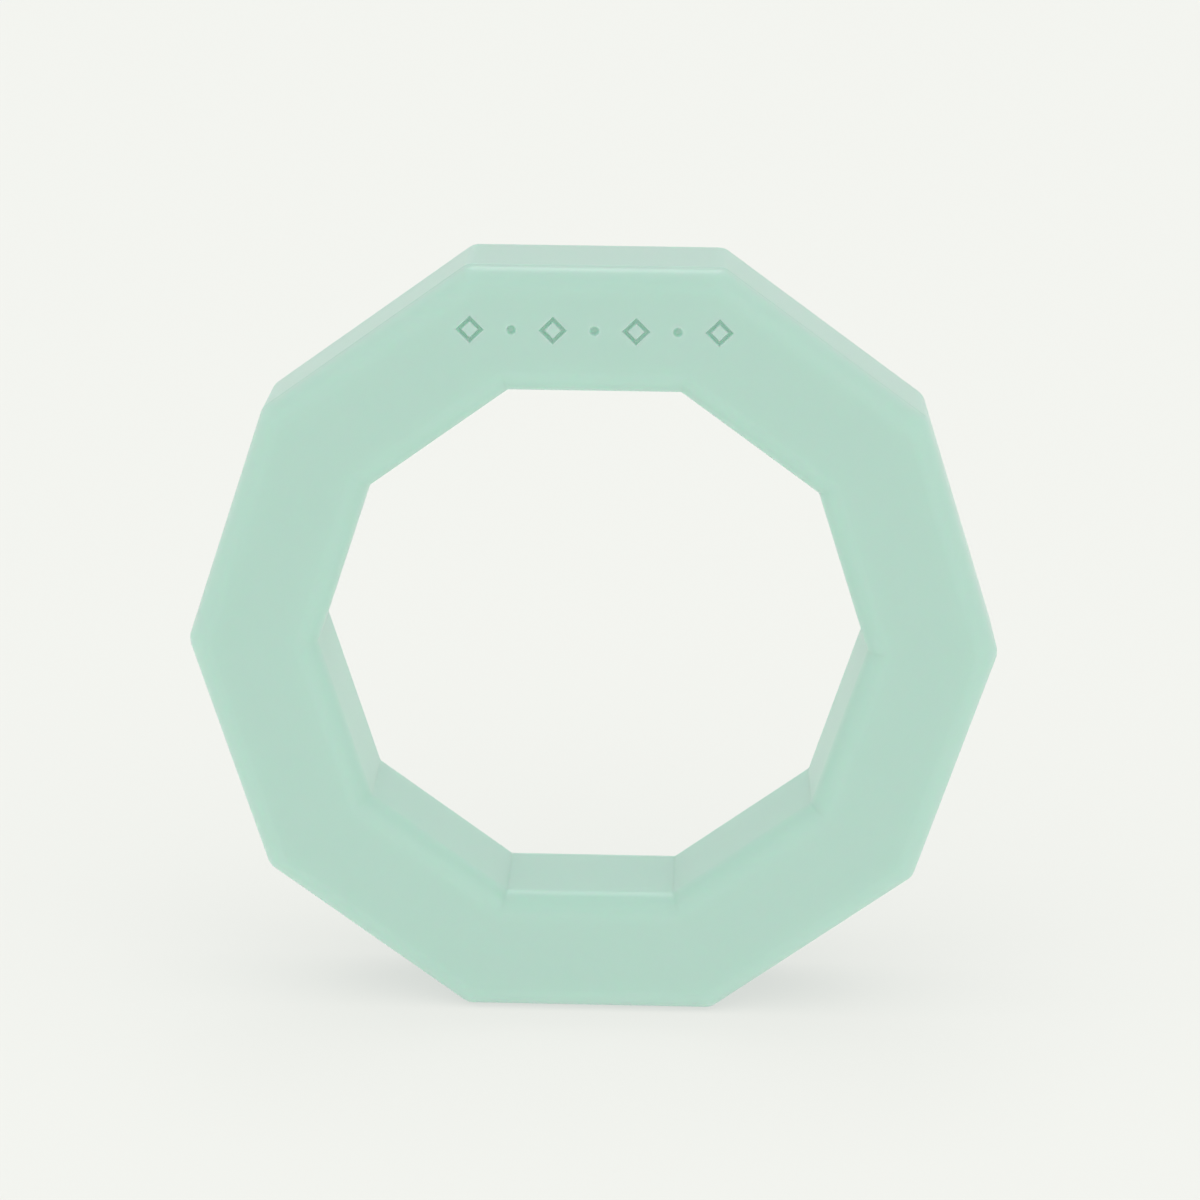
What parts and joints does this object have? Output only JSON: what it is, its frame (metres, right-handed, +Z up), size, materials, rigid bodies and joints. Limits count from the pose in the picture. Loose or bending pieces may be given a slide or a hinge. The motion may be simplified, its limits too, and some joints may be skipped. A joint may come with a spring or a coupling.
{
  "type": "teething ring",
  "caption": "Decagonal chew ring moulded in one piece from solid soft rubber, with flat walls, rounded edges and a sunk row of small ornaments on one face.",
  "frame": {"origin": "middle of the flat outer side that the ring stands on, which is the bottom centre of its box", "axes": "+X to the right across the ring's corners, +Y along the hole's axis from the decorated front face to the back face, +Z up"},
  "size_m": [0.1196, 0.022, 0.1141],
  "materials": {
    "mint_rubber": "soft satin, mint green, opaque"
  },
  "bodies": {
    "root": {"ring_body": "mint_rubber"}
  },
  "joints": []
}
